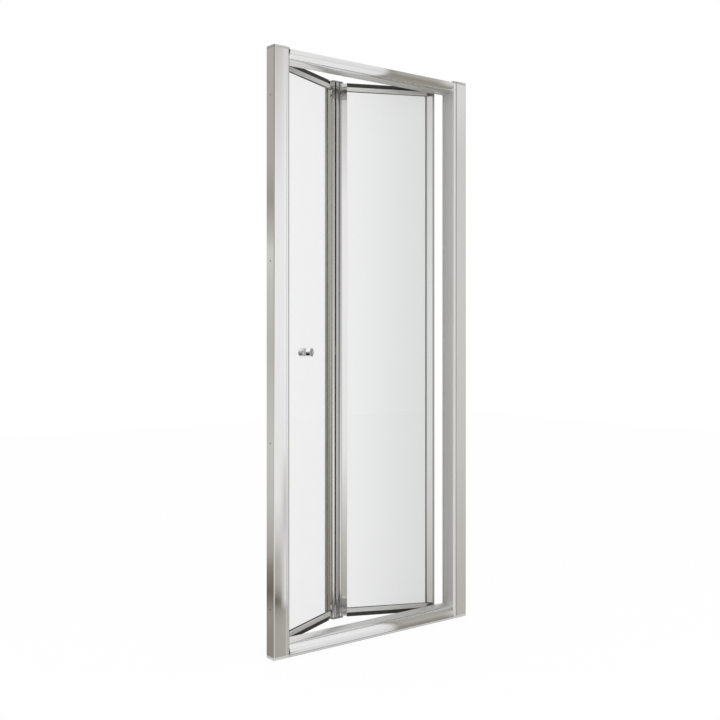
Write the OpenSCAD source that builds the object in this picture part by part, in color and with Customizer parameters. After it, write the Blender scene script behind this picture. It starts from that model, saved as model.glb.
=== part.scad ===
// Bifold shower door in a framed recess, folding inwards, drawn partly folded.
// Millimetres. +X runs to the right seen from outside, +Y into the shower, +Z up.
// The origin is the centre of the underside of the threshold.

/* [Opening] */
// Overall width of the frame, wall to wall
overall_w = 800; // [700:10:1000]
// Overall height of the frame, caps and feet included
overall_h = 1850; // [1700:10:2000]
// Overall depth of the frame, front face to back of the track
frame_d = 98.5; // [96:0.5:110]

/* [Fold] */
// Angle that each panel has turned from closed
fold = 24.5; // [0:0.1:80]

/* [Posts] */
// Width of a post as seen from the front
post_w = 58; // [50:1:70]
// Depth of a post's inner side
post_d = 54; // [50:1:60]
// Width of the wall channel
channel_w = 46; // [40:1:47]
// Depth of the wall channel
channel_d = 41; // [38:1:41]
// Thickness of the cap and of the foot
cap_t = 8; // [5:1:12]

/* [Rails] */
// Height of the rounded front of the head rail and of the threshold rail
bull_h = 36.5; // [34:0.5:40]
// Height of the threshold strip under the bottom rail
strip_h = 7; // [5:0.5:8]
// Gap from the top of the frame down to the head rail
head_drop = 5; // [4:0.5:8]
// Clear width of the guide track
track_w = 12; // [12:0.5:14]

/* [Panels] */
// Glass thickness
glass_t = 6; // [4:1:6]
// Width of an edge stile's front face
stile_w = 20; // [20:0.5:24]
// Width of a hinge stile's front face
hinge_w = 14.2; // [14:0.2:22]
// Depth of a stile
stile_d = 21.5; // [20:0.5:22]
// Height of the metal rail over and under each pane
rail_h = 13; // [13:0.5:16]
// Height of the black seal outside each panel rail
seal_h = 14; // [10:0.5:14]
// Distance between the two axes of the centre hinge
axis_gap = 30; // [30:1:36]

/* [Knob] */
// Knob diameter
knob_d = 27; // [24:1:32]
// How far each knob stands off the glass
knob_l = 19; // [16:1:24]
// Height of the knob above the floor
knob_z = 920; // [850:5:1050]

/* [Hidden] */
$fn = 96;
eps = 0.01;
wall = 1.8;                          // wall of the frame extrusions
skin = 1.6;                          // wall of the panel extrusions
fillet = 4;                          // rounding of the posts' inner corners
wall_round = 3;                      // rounding of the posts' edges at the walls
crown_r = 600;                       // radius of the posts' slightly convex fronts

// Places in the frame, from the left wall and the front face
track_y = frame_d - 16.5;            // line of the pivot, the track and the guides
edge_reach = 15.5;                   // pivot axis to the outer edge of a panel
pivot_x = post_w + edge_reach + 9.1;
rebate = 29.6;                       // right wall to the edge of the closed door
hinge_set = 9;                       // hinge axes in front of the pivot line
arm = (overall_w - rebate - pivot_x - axis_gap - edge_reach) / 2;
axis_x = pivot_x + arm * cos(fold) + hinge_set * sin(fold);
axis_y = track_y + arm * sin(fold) - hinge_set * cos(fold);
centre_x = axis_x + axis_gap / 2;

// Heights
rail_top = overall_h - head_drop;    // top of the head rail
slot_d = 9;                          // outer face of a rail to the mouth of its track
slot_roof = 2;                       // outer face of a rail to the floor of its track
seal_lo = strip_h + slot_d + 0.7;    // lowest edge of the bottom seals
seal_hi = rail_top - slot_d - 2.3;   // highest edge of the top seals
stile_lo = seal_lo + 4.9;
stile_hi = seal_hi - 3.3;
flange_t = 1.6;                      // flange of the plug in a stile's end
pivot_collar = stile_lo - flange_t - 0.1 - strip_h;   // collar that the panel turns on
glass_lo = seal_lo + seal_h + rail_h;    // lower edge of the visible pane
glass_hi = seal_hi - seal_h - rail_h;    // upper edge of the visible pane

// Section of a panel: u runs from the pivot to the hinge, v from front to back
stile_v = -hinge_set - 1.5;          // front of the stiles
rail_v = -7;                         // front of the panel rails
rail_t = 14.5;                       // thickness of the panel rails
glass_v = -1.5;                      // front of the pane
edge_u0 = edge_reach - 8;            // pivot axis to the outer side of the edge stile
edge_u = -edge_u0;
edge_in = edge_u + stile_w + 0.8;    // inner side of the edge stile
neck_l = 9;                          // hinge axis to the side of the hinge stile
hinge_out = arm - neck_l;            // hinge side of the hinge stile
hinge_in = hinge_out - hinge_w;      // glass side of the hinge stile
pocket = 8;                          // depth of the glass groove in a stile
bite = 8;                            // depth of the glass groove in a panel rail
gasket_t = 0.5;                      // rubber between the pane and its groove
gasket_lip = 1.2;                    // how far the gasket shows beside the metal

// Hinge section
bead_r = 5.5;                        // round bead along each hinge stile
jaw_in = 5.7;                        // socket that the bead turns in
jaw_out = 8.2;                       // outside of the socket
jaw_from = 160;                      // where the socket opens, degrees from +X
jaw_to = 308;
rib_w = 15;                          // convex bar down the middle of the spine
rib_rise = 2.2;                      // rise of its rounded front
hinge_pin_r = 2;
hinge_pin_l = 24;
plate_t = 4;                         // hinge end caps
plate_gap = 0.3;

// Pivots and guides
pin_r = 3;
pin_fit = 0.05;                      // running clearance on every pin
plug_l = 24;                         // length of the stiles' end plugs
roller_r = track_w / 2 - 0.3;
roller_h = 5;
roller_z = rail_top - slot_roof - 1.4 - roller_h;

// Fixings
screw_r = 2;
port_r = 2.05;                       // screw ports of the extrusions
wall_hole_r = 2.2;
wall_holes = [150, 650, 1200, 1700];
adjust_z = [250, 925, 1600];
adjust_x = 17;                       // adjusting screws, from the wall
leg_x = 23.6;                        // leg of the closing jamb, from the wall
knob_u = 155;                        // pivot axis to the knob
knob_hole_r = 6;
stud_r = 3;

chrome = "#b9bab8";
satin = "#c9c9c4";
cap_grey = "#8d8c86";
rubber = "#3a3a38";
soft_grey = "#8f8f8b";
clear_grey = "#dfe3e2";
nylon = "#77787a";
glass_tint = "#dbe6e655";

// ---- Places ---------------------------------------------------------------

module in_frame() {
    translate([-overall_w / 2, -frame_d / 2, 0]) children();
}

// The right post is the left one seen in a mirror
module right_side() {
    translate([overall_w, 0, 0]) mirror([1, 0, 0]) children();
}

// Panel that turns on the fixed pivot
module at_pivot_panel() {
    in_frame() translate([pivot_x, track_y, 0]) rotate([0, 0, fold]) children();
}

// Panel that runs in the track: the same panel mirrored about the hinge spine
module at_leading_panel() {
    in_frame() translate([2 * centre_x, 0, 0]) mirror([1, 0, 0])
        translate([pivot_x, track_y, 0]) rotate([0, 0, fold]) children();
}

module at_spine() {
    in_frame() translate([centre_x, axis_y, 0]) children();
}

// Extrudes a section drawn as (y, z) along X from x0 to x1
module along_x(x0, x1) {
    translate([x0, 0, 0]) rotate([90, 0, 90]) linear_extrude(height = x1 - x0) children();
}

module upright(z0, z1) {
    translate([0, 0, z0]) linear_extrude(height = z1 - z0) children();
}

module span(x0, x1, y0, y1) {
    translate([x0, y0]) square([x1 - x0, y1 - y0]);
}

// ---- Post sections, x from the wall and y from the front ------------------

module rounded_corner(r) {
    difference() {
        translate([-eps, -eps]) square(r + eps);
        translate([r, r]) circle(r);
    }
}

module crowned(x0, x1, y0, y1, inset = 0) {
    intersection() {
        span(x0, x1, y0, y1);
        translate([channel_w / 2, crown_r]) circle(crown_r - inset, $fn = 360);
    }
}

function crown_y(x) = crown_r - sqrt(crown_r * crown_r - pow(channel_w / 2 - x, 2));

// Corner at the wall: a rounding that breaks into the crowned front
module wall_corner() {
    y = crown_y(wall_round) + wall_round - 0.15;
    difference() {
        span(-1, wall_round, -1, y);
        translate([wall_round, y]) circle(wall_round);
    }
}

module channel_2d() {
    difference() {
        crowned(0, channel_w, 0, channel_d);
        crowned(wall + 0.4, channel_w + 1, 0, channel_d - wall - 0.4, wall);
        wall_corner();
    }
}

module box_2d(x0, x1, y0, y1) {
    difference() {
        span(x0, x1, y0, y1);
        span(x0 + wall, x1 - wall, y0 + wall, y1 - wall);
    }
}

// Jamb: a tongue in the wall channel, a visible nose and a box behind the channel
module jamb_2d(gap) {
    nose_x = channel_w + gap;
    tongue_y0 = 4;
    tongue_y1 = channel_d - wall - 1;
    difference() {
        union() {
            span(nose_x, post_w, 0.8, post_d);
            span(14, nose_x + eps, tongue_y0, tongue_y1);
            span(22, nose_x + eps, channel_d + 0.6, post_d);
        }
        span(13, nose_x + 2, tongue_y0 + wall, tongue_y1 - wall);
        span(22 + wall, nose_x + 2, channel_d + 0.6 + wall, post_d - wall);
        span(nose_x + 2 - eps, post_w - wall, 0.8 + wall, post_d - wall);
        translate([post_w, 0.8]) mirror([1, 0]) rounded_corner(fillet);
        span(post_w - 1, post_w + 1, channel_d + 0.2, channel_d + 1.4);
    }
    span(nose_x, nose_x + 2, tongue_y1 - wall, channel_d + 0.6 + wall);
}

module pivot_jamb_2d() {
    jamb_2d(0.2);
    span(post_w - wall, post_w, post_d - eps, track_y + 6);
}

// The closing side is pulled out a little further to fit the wall, which opens its joint
// with the channel, and has its leg nearer the wall, behind the edge of the closed door
module closing_jamb_2d() {
    jamb_2d(1.2);
    span(leg_x, leg_x + wall, post_d - eps, track_y + 5.5);
}

module post_outline_2d() {
    difference() {
        crowned(0, channel_w, 0, channel_d);
        wall_corner();
    }
    difference() {
        union() {
            span(channel_w - 1, post_w, 0.8, post_d);
            span(22, post_w, channel_d - 1, post_d);
        }
        translate([post_w, 0.8]) mirror([1, 0]) rounded_corner(fillet);
    }
}

module wall_channel() {
    difference() {
        upright(cap_t, overall_h - cap_t) channel_2d();
        for (z = wall_holes)
            translate([-1, channel_d / 2, z]) rotate([0, 90, 0]) cylinder(r = wall_hole_r, h = 6);
        for (z = adjust_z)
            translate([adjust_x, channel_d - 5, z]) rotate([-90, 0, 0])
                cylinder(r = screw_r + 0.1, h = 8);
    }
}

module jamb_holes() {
    for (z = adjust_z)
        translate([adjust_x, channel_d - 6, z]) rotate([-90, 0, 0])
            cylinder(r = screw_r + 0.1, h = 5);
    for (p = rail_ports, z = [rail_top - p[1], strip_h + p[1]])
        translate([post_w - 6, p[0], z]) rotate([0, 90, 0]) cylinder(r = screw_r + 0.1, h = 8);
}

module left_wall_channel() color(chrome) in_frame() wall_channel();
module right_wall_channel() color(chrome) in_frame() right_side() wall_channel();

module left_jamb() color(chrome) in_frame() difference() {
    upright(cap_t, overall_h - cap_t) pivot_jamb_2d();
    jamb_holes();
}

module right_jamb() color(chrome) in_frame() right_side() difference() {
    upright(cap_t, overall_h - cap_t) closing_jamb_2d();
    jamb_holes();
}

// Cap and foot: a plate with a short spigot in the open end of the jamb
module post_end() {
    upright(0, cap_t) post_outline_2d();
    upright(-2.4, eps)
        span(channel_w + 3.6, post_w - wall - 0.2, 0.8 + wall + 0.2, post_d - wall - 0.2);
}

module post_cap() translate([0, 0, overall_h - cap_t]) post_end();
module post_foot() translate([0, 0, cap_t]) mirror([0, 0, 1]) post_end();

module left_post_cap() color(cap_grey) in_frame() post_cap();
module right_post_cap() color(cap_grey) in_frame() right_side() post_cap();
module left_post_foot() color(clear_grey) in_frame() post_foot();
module right_post_foot() color(clear_grey) in_frame() right_side() post_foot();

module adjusting_screw() {
    head_y = channel_d;
    translate([adjust_x, head_y - 8, 0]) rotate([-90, 0, 0]) cylinder(r = screw_r, h = 8);
    translate([adjust_x, head_y, 0]) rotate([-90, 0, 0]) cylinder(r1 = 3.4, r2 = 2.4, h = 1.6);
}

module screw_cap() {
    translate([adjust_x, channel_d, 0]) rotate([-90, 0, 0]) difference() {
        cylinder(r = 4.6, h = 3);
        translate([0, 0, -1]) cylinder(r = 3.6, h = 2.8);
    }
}

module adjusting_screws() color(satin) in_frame()
    for (z = adjust_z) translate([0, 0, z]) {
        adjusting_screw();
        right_side() adjusting_screw();
    }

module screw_caps() color(cap_grey) in_frame()
    for (z = adjust_z) translate([0, 0, z]) {
        screw_cap();
        right_side() screw_cap();
    }

// ---- Rails: y from the front, h inwards from the outer face ----------------

rail_ports = [[20, 9.5], [43, 9.5]];
bull_r = 26;                                     // radius where the front starts
run = [-0.28, 0.96];                             // a 7-24-25 slope, so both arcs meet exactly
bull_R = bull_r - (post_d - bull_r) / run[0];    // long arc up to the crest
bull_rise = bull_h - bull_R + run[1] * (bull_R - bull_r);

// Upright foot and a quarter oval of two tangent arcs, level at the crest
module quarter_oval_2d(inset) {
    big = [post_d, bull_h - bull_R];
    small = [bull_r, bull_rise];
    far = 3 * bull_R;
    intersection() {
        translate(small) circle(bull_r - inset);
        polygon([small, small + far * run, [-far, far], [-far, bull_rise]]);
    }
    span(inset, bull_r, 0, bull_rise);
    intersection() {
        translate(big) circle(bull_R - inset, $fn = 360);
        span(0, post_d, 0, bull_h);
        polygon([[bull_r, 0], small, small + far * run, [post_d, far], [post_d + eps, 0]]);
    }
}

module track_walls_2d() {
    for (s = [-1, 1])
        translate([track_y + s * (track_w / 2 + 1), slot_d / 2]) square([2, slot_d], center = true);
}

module rail_2d() {
    difference() {
        union() {
            difference() {
                quarter_oval_2d(0);
                rounded_corner(2);
                intersection() {
                    quarter_oval_2d(2);
                    span(0, post_d - 2, 2, bull_h);
                }
            }
            for (p = rail_ports) {
                translate(p) circle(port_r + 1.7);
                span(p[0] - 1, p[0] + 1, 0.5, p[1] - port_r);
            }
        }
        for (p = rail_ports) translate(p) circle(port_r);
    }
}

module rail_back_2d() {
    span(post_d - 2, frame_d, 0, 2);
    track_walls_2d();
}

module rail_body() {
    along_x(post_w, overall_w - post_w) rail_2d();
    along_x(post_w, overall_w - post_w) rail_back_2d();
    // The track runs on behind the closing post
    along_x(post_w, overall_w - rebate) difference() {
        rail_back_2d();
        span(0, post_d + 0.3, -1, 3);
    }
}

module head_rail() color(chrome) in_frame()
    translate([0, 0, rail_top]) mirror([0, 0, 1]) rail_body();
module bottom_rail() color(chrome) in_frame() translate([0, 0, strip_h]) rail_body();

module threshold_strip() color(clear_grey) in_frame()
    along_x(post_w, overall_w - post_w) difference() {
        span(1, frame_d, 0, strip_h);
        span(8, 44, strip_h - 3, strip_h + 1);
        translate([1, strip_h]) mirror([0, 1]) rounded_corner(1.5);
    }

module corner_screw(p) {
    translate([post_w - wall, p[0], p[1]]) rotate([0, 90, 0]) cylinder(r = screw_r, h = 16);
    translate([post_w - wall - 1.8, p[0], p[1]]) rotate([0, 90, 0])
        cylinder(r1 = 2.6, r2 = 3.6, h = 1.8);
}

module corner_screws() color(satin) in_frame()
    for (p = rail_ports, z = [rail_top - p[1], strip_h + p[1]]) {
        corner_screw([p[0], z]);
        right_side() corner_screw([p[0], z]);
    }

// ---- Pivots ----------------------------------------------------------------

module pivot_block() {
    z0 = slot_roof;
    difference() {
        union() {
            translate([pivot_x - 17, track_y - track_w / 2 + 0.1, z0])
                cube([32, track_w - 0.2, slot_d - slot_roof]);
            translate([pivot_x, track_y, z0]) cylinder(r = 5.4, h = pivot_collar - z0);
        }
        translate([pivot_x, track_y, z0 + 1.5]) cylinder(r = pin_r, h = 20);
        for (s = [-1, 1])
            translate([pivot_x + s * 11.5, track_y, z0 - 1]) cylinder(r = 1.8, h = 20);
    }
}

module pivot_pin(reach) {
    translate([pivot_x, track_y, slot_roof + 1.5]) cylinder(r = pin_r, h = reach - 1);
    translate([pivot_x, track_y, slot_roof + 0.5 + reach])
        cylinder(r1 = pin_r, r2 = pin_r - 1, h = 1);
}

module at_head() translate([0, 0, rail_top]) mirror([0, 0, 1]) children();
module at_sill() translate([0, 0, strip_h]) children();

module top_pivot_block() color(nylon) in_frame() at_head() pivot_block();
module bottom_pivot_block() color(nylon) in_frame() at_sill() pivot_block();
module top_pivot_pin() color(satin) in_frame() at_head() pivot_pin(30);
module bottom_pivot_pin() color(satin) in_frame() at_sill() pivot_pin(30);

// Magnetic strip clipped over the closing leg, and the fin that closes the pivot side
module jamb_magnet_strip() color(soft_grey) in_frame() right_side()
    upright(strip_h + slot_d + 3, rail_top - slot_d - 3) difference() {
        span(leg_x - 1.6, rebate - 1, track_y - 9, track_y + 7);
        span(leg_x, leg_x + wall, track_y - 10, track_y + 5.5);
    }

module jamb_gasket() color(rubber) in_frame()
    upright(strip_h + slot_d + 3, rail_top - slot_d - 3) difference() {
        union() {
            span(post_w, post_w + 1.2, track_y - 7, track_y + 5);
            translate([post_w + 4, track_y - 1]) circle(3.5);
        }
        translate([post_w + 4, track_y - 1]) circle(2.4);
    }

// ---- Panel pieces, in the panel's own (u, v) section ------------------------

module stile_body_2d(u0, u1, side) {
    // side +1: the pane enters from u1, side -1: from u0
    mouth = side > 0 ? u1 : u0;
    web = mouth - side * pocket;
    back = stile_v + stile_d;
    groove = glass_v - gasket_t;
    difference() {
        span(u0, u1, stile_v, back);
        // groove of the pane
        span(min(mouth + side, web), max(mouth + side, web), groove, groove + glass_t + 2 * gasket_t);
        // hollow beside the groove, in front of it and behind it
        span(min(web - side * skin, side > 0 ? u0 + skin : u1 - skin),
             max(web - side * skin, side > 0 ? u0 + skin : u1 - skin),
             stile_v + skin, back - skin);
        span(min(mouth - side * skin, web), max(mouth - side * skin, web),
             stile_v + skin, groove - skin);
        span(min(mouth - side * skin, web), max(mouth - side * skin, web),
             groove + glass_t + 2 * gasket_t + skin, back - skin);
    }
}

module edge_stile_2d() stile_body_2d(edge_u, edge_in, 1);

module bead_at() translate([arm, -hinge_set]) children();

module hinge_stile_2d() {
    stile_body_2d(hinge_in, hinge_out, -1);
    span(hinge_out - eps, arm - bead_r / 2, stile_v, stile_v + 3);
    bead_at() circle(bead_r);
}

module screws_from_edge(r, h, start) {
    for (z = panel_screw_z) translate([start, panel_port_v, z]) rotate([0, 90, 0])
        cylinder(r = r, h = h);
}

panel_port_v = rail_v + rail_t / 2;
panel_screw_z = [glass_lo - rail_h + 2.6, glass_hi + rail_h - 2.6];

module edge_stile() difference() {
    upright(stile_lo, stile_hi) edge_stile_2d();
    screws_from_edge(screw_r - 0.4, 40, edge_u - 1);
}

module hinge_stile() difference() {
    upright(stile_lo, stile_hi) hinge_stile_2d();
    for (z = [stile_lo - 1, stile_hi - hinge_pin_l - 1])
        translate([arm, -hinge_set, z]) cylinder(r = hinge_pin_r + pin_fit, h = hinge_pin_l + 2);
    screws_from_edge(screw_r - 0.4, 40, hinge_in - 5);
}

module pane() difference() {
    translate([edge_in - pocket + 1, glass_v, glass_lo - bite + 1])
        cube([hinge_in - edge_in + 2 * pocket - 2, glass_t, glass_hi - glass_lo + 2 * bite - 2]);
    children();
}

// Panel rail section as (v, z), with z = 0 at the pane's visible edge
module panel_rail_2d() {
    groove = glass_v - gasket_t;
    slot = panel_port_v;
    difference() {
        span(rail_v, rail_v + rail_t, 0, rail_h);
        span(groove, groove + glass_t + 2 * gasket_t, -1, bite);
        // screw port, open to the T slot of the seal
        translate([panel_port_v, rail_h - 2.6]) circle(screw_r - 0.4);
        span(slot - 1.2, slot + 1.2, rail_h - 2, rail_h + 1);
    }
}

// Seal as (v, z), with z = 0 on the outer face of the rail
module seal_2d() {
    c = panel_port_v;
    polygon([[c - 5.6, 0], [c + 5.6, 0], [c + 5.6, 9.5], [c + 5, seal_h], [c + 2.8, seal_h],
             [c + 2.2, 8], [c - 2.2, 8], [c - 2.8, seal_h], [c - 5, seal_h], [c - 5.6, 9.5]]);
    span(c - 1.1, c + 1.1, -1, eps);
}

// A rail or seal along the panel, mirrored for the bottom edge
module along_panel(z, flip) {
    translate([0, 0, z]) mirror([0, 0, flip ? 1 : 0]) along_x(edge_in, hinge_in) children();
}

module glazing_ring(v0) {
    lip = gasket_lip;
    difference() {
        translate([edge_in - pocket + 1, v0, glass_lo - bite + 1])
            cube([hinge_in - edge_in + 2 * pocket - 2, gasket_t - 0.05,
                  glass_hi - glass_lo + 2 * bite - 2]);
        translate([edge_in + lip, v0 - 1, glass_lo + lip])
            cube([hinge_in - edge_in - 2 * lip, 3, glass_hi - glass_lo - 2 * lip]);
    }
}

module glazing_gasket() {
    glazing_ring(glass_v - gasket_t + 0.05);
    glazing_ring(glass_v + glass_t);
}

// Soft edge of a panel: a web on the stile's side and a rounded nose
module edge_seal_2d() {
    mid = stile_v + stile_d / 2;
    span(2.4 - edge_reach, edge_u, mid - 6, mid + 6);
    translate([2.4 - edge_reach, mid]) intersection() {
        circle(6);
        span(-2.4, eps, -7, 7);
    }
}

// Nylon plug in the end of an edge stile, with the bore of the pivot or guide pin
module stile_plug() {
    difference() {
        union() {
            translate([edge_u + skin + 0.1, stile_v + skin + 0.1, 0])
                cube([edge_in - pocket - 2 * skin - edge_u - 0.2, stile_d - 2 * skin - 0.2, plug_l]);
            translate([edge_u, stile_v, -flange_t])
                cube([edge_in - edge_u, stile_d, flange_t + eps]);
        }
        translate([0, 0, -flange_t - 1]) cylinder(r = pin_r + pin_fit, h = plug_l + 4);
    }
}

module stile_plugs() {
    translate([0, 0, stile_lo]) stile_plug();
    translate([0, 0, stile_hi]) mirror([0, 0, 1]) stile_plug();
}

module panel_screws() {
    for (z = panel_screw_z) {
        translate([edge_in - pocket - skin, panel_port_v, z]) rotate([0, 90, 0])
            cylinder(r = screw_r - 0.45, h = pocket + skin + 12);
        translate([hinge_in - 12, panel_port_v, z]) rotate([0, 90, 0])
            cylinder(r = screw_r - 0.45, h = 12 + pocket + skin);
    }
}

module pivot_glass() color(glass_tint) at_pivot_panel() pane()
    translate([knob_u, 0, knob_z]) rotate([90, 0, 0])
        cylinder(r = knob_hole_r, h = 60, center = true);
module pivot_stile() color(chrome) at_pivot_panel() edge_stile();
module inner_hinge_stile() color(chrome) at_pivot_panel() hinge_stile();
module pivot_top_rail() color(satin) at_pivot_panel() along_panel(glass_hi, false) panel_rail_2d();
module pivot_bottom_rail() color(satin) at_pivot_panel() along_panel(glass_lo, true) panel_rail_2d();
module pivot_top_seal() color(rubber) at_pivot_panel()
    along_panel(glass_hi + rail_h, false) seal_2d();
module pivot_bottom_seal() color(rubber) at_pivot_panel()
    along_panel(glass_lo - rail_h, true) seal_2d();
module pivot_glazing_gasket() color(rubber) at_pivot_panel() glazing_gasket();
module pivot_edge_seal() color(soft_grey) at_pivot_panel()
    upright(stile_lo, stile_hi) edge_seal_2d();
module pivot_stile_plugs() color(nylon) at_pivot_panel() stile_plugs();
module pivot_panel_screws() color(satin) at_pivot_panel() panel_screws();

module leading_glass() color(glass_tint) at_leading_panel() pane();
module leading_stile() color(chrome) at_leading_panel() edge_stile();
module outer_hinge_stile() color(chrome) at_leading_panel() hinge_stile();
module leading_top_rail() color(satin) at_leading_panel()
    along_panel(glass_hi, false) panel_rail_2d();
module leading_bottom_rail() color(satin) at_leading_panel()
    along_panel(glass_lo, true) panel_rail_2d();
module leading_top_seal() color(rubber) at_leading_panel()
    along_panel(glass_hi + rail_h, false) seal_2d();
module leading_bottom_seal() color(rubber) at_leading_panel()
    along_panel(glass_lo - rail_h, true) seal_2d();
module leading_glazing_gasket() color(rubber) at_leading_panel() glazing_gasket();
module leading_magnet_seal() color(soft_grey) at_leading_panel()
    upright(stile_lo, stile_hi) edge_seal_2d();
module leading_stile_plugs() color(nylon) at_leading_panel() stile_plugs();
module leading_panel_screws() color(satin) at_leading_panel() panel_screws();

// ---- Knob -------------------------------------------------------------------

washer_t = 1;

// Solid of revolution: a drum with a small waist at the glass and a softened rim
module knob_turned() rotate_extrude() difference() {
    polygon([[0, washer_t], [knob_d / 2 - 1.5, washer_t], [knob_d / 2, washer_t + 2.5],
             [knob_d / 2, knob_l - 1], [knob_d / 2 - 1, knob_l], [0, knob_l]]);
    span(-1, stud_r, -1, 12);
}

module knob_side(front) {
    translate([knob_u, front ? glass_v : glass_v + glass_t, knob_z])
        rotate([front ? 90 : -90, 0, 0]) children();
}

module outer_knob() color(chrome) at_pivot_panel() knob_side(true) knob_turned();
module inner_knob() color(chrome) at_pivot_panel() knob_side(false) knob_turned();
module knob_stud() color(satin) at_pivot_panel()
    translate([knob_u, glass_v - 11.5, knob_z]) rotate([-90, 0, 0])
        cylinder(r = stud_r, h = glass_t + 23);
module knob_washers() color(clear_grey) at_pivot_panel() {
    for (front = [true, false]) knob_side(front) difference() {
        cylinder(r = knob_d / 2 - 1.5, h = washer_t);
        translate([0, 0, -1]) cylinder(r = stud_r, h = 3);
    }
}

// ---- Centre hinge ------------------------------------------------------------

// Socket of one bead, open towards its panel's travel
module jaw_2d() {
    far = 3 * jaw_out;
    mid = (jaw_from + jaw_to) / 2;
    difference() {
        circle(jaw_out);
        circle(jaw_in);
        polygon([[0, 0], far * [cos(jaw_from), sin(jaw_from)], far * [cos(mid), sin(mid)],
                 far * [cos(jaw_to), sin(jaw_to)]]);
    }
}

module spine_2d() {
    half = axis_gap / 2;
    rib_r = (pow(rib_w / 2, 2) + pow(rib_rise, 2)) / (2 * rib_rise);
    difference() {
        union() {
            for (s = [0, 1]) mirror([s, 0]) translate([-half, 0]) jaw_2d();
            span(-half + jaw_in + 0.8, half - jaw_in - 0.8, -1, 6.5);
            intersection() {
                span(-rib_w / 2, rib_w / 2, -jaw_out - 1, 0);
                translate([0, rib_r - jaw_out]) circle(rib_r);
            }
        }
        translate([0, 2.75]) circle(port_r - 0.4);
    }
}

module plate_2d() {
    half = axis_gap / 2;
    for (s = [-1, 1]) translate([s * half, 0]) circle(9.3);
    span(-half, half, -9.3, 9.3);
}

module hinge_plate() difference() {
    linear_extrude(height = plate_t) plate_2d();
    for (s = [-1, 1]) translate([s * axis_gap / 2, 0, -1]) cylinder(r = hinge_pin_r, h = 10);
    translate([0, 2.75, -1]) cylinder(r = port_r - 0.4, h = 10);
}

module hinge_pin() {
    cylinder(r = hinge_pin_r, h = hinge_pin_l);
    translate([0, 0, hinge_pin_l]) cylinder(r1 = 3.2, r2 = 2.6, h = 0.8);
}

module at_spine_top() at_spine() translate([0, 0, stile_hi + plate_gap]) children();
module at_spine_bottom() at_spine()
    translate([0, 0, stile_lo - plate_gap]) mirror([0, 0, 1]) children();

module hinge_pin_pair() for (s = [-1, 1])
    translate([s * axis_gap / 2, 0, plate_t - hinge_pin_l]) hinge_pin();

module hinge_cap_screw() {
    translate([0, 2.75, plate_t - 18]) cylinder(r = port_r - 0.45, h = 18);
    translate([0, 2.75, plate_t]) cylinder(r1 = 3, r2 = 2.2, h = 0.8);
}

module hinge_spine() color(chrome) at_spine() upright(stile_lo, stile_hi) spine_2d();
module hinge_top_cap() color(cap_grey) at_spine_top() hinge_plate();
module hinge_bottom_cap() color(cap_grey) at_spine_bottom() hinge_plate();
module hinge_pins() color(satin) {
    at_spine_top() hinge_pin_pair();
    at_spine_bottom() hinge_pin_pair();
}
module hinge_cap_screws() color(satin) {
    at_spine_top() hinge_cap_screw();
    at_spine_bottom() hinge_cap_screw();
}

// ---- Guides of the leading panel, at its own pivot line ------------------------

// Guide pin with a collar under the roller and a clip over it
module top_guide_pin() color(satin) at_leading_panel() {
    clip = roller_z + roller_h + 0.1;
    translate([0, 0, stile_hi - plug_l]) cylinder(r = pin_r, h = clip + 0.8 - stile_hi + plug_l);
    translate([0, 0, stile_hi + flange_t])
        cylinder(r = 4.6, h = roller_z - 0.1 - stile_hi - flange_t);
    translate([0, 0, clip]) cylinder(r = 4.2, h = 0.8);
}

module bottom_guide_pin() color(satin) at_leading_panel() {
    translate([0, 0, strip_h + 3]) cylinder(r = pin_r, h = stile_lo - strip_h - 3 + plug_l);
}

// Roller with a waisted rim, free on the top guide pin
module top_guide_roller() color(nylon) at_leading_panel()
    translate([0, 0, roller_z]) rotate_extrude() difference() {
        span(pin_r + pin_fit, roller_r, 0, roller_h);
        translate([roller_r + 2.6, roller_h / 2]) circle(3);
    }

// Shoe that stays in line with the bottom track while the panel turns on it
module bottom_guide_shoe() color(nylon) in_frame()
    translate([2 * centre_x - pivot_x, track_y, strip_h + slot_roof + 0.6]) difference() {
        union() {
            cube_w = track_w - 0.8;
            translate([-6, -cube_w / 2, 0]) cube([12, cube_w, 5.6]);
            for (s = [-1, 1]) translate([s * 6, 0, 0]) cylinder(r = cube_w / 2, h = 5.6);
        }
        translate([0, 0, -1]) cylinder(r = pin_r + pin_fit, h = 10);
    }

// ---- Nodes ---------------------------------------------------------------------

left_wall_channel();
right_wall_channel();
left_jamb();
right_jamb();
left_post_cap();
right_post_cap();
left_post_foot();
right_post_foot();
head_rail();
bottom_rail();
threshold_strip();
corner_screws();
adjusting_screws();
screw_caps();
top_pivot_block();
bottom_pivot_block();
top_pivot_pin();
bottom_pivot_pin();
jamb_magnet_strip();
jamb_gasket();
pivot_glass();
pivot_stile();
inner_hinge_stile();
pivot_top_rail();
pivot_bottom_rail();
pivot_top_seal();
pivot_bottom_seal();
pivot_glazing_gasket();
pivot_edge_seal();
pivot_stile_plugs();
pivot_panel_screws();
outer_knob();
inner_knob();
knob_stud();
knob_washers();
hinge_spine();
hinge_top_cap();
hinge_bottom_cap();
hinge_pins();
hinge_cap_screws();
leading_glass();
leading_stile();
outer_hinge_stile();
leading_top_rail();
leading_bottom_rail();
leading_top_seal();
leading_bottom_seal();
leading_glazing_gasket();
leading_magnet_seal();
leading_stile_plugs();
leading_panel_screws();
top_guide_pin();
bottom_guide_pin();
top_guide_roller();
bottom_guide_shoe();
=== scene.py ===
# %% [markdown]
# # A bifold shower door, partly folded
# The door is polished aluminium, clear glass, black rubber and a little plastic. The packed model gives every
# piece its place. This lesson draws the extrusions again with rounded edges and smooth curves, turns the knobs,
# moulds the caps, and adds finishes made of nodes, a pale studio and the camera. The scene is in metres, with
# +X to the right, +Y into the shower and +Z up.

# %% Load the packed door
import math

import bmesh
import bpy
from mathutils import Matrix, Vector


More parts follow.
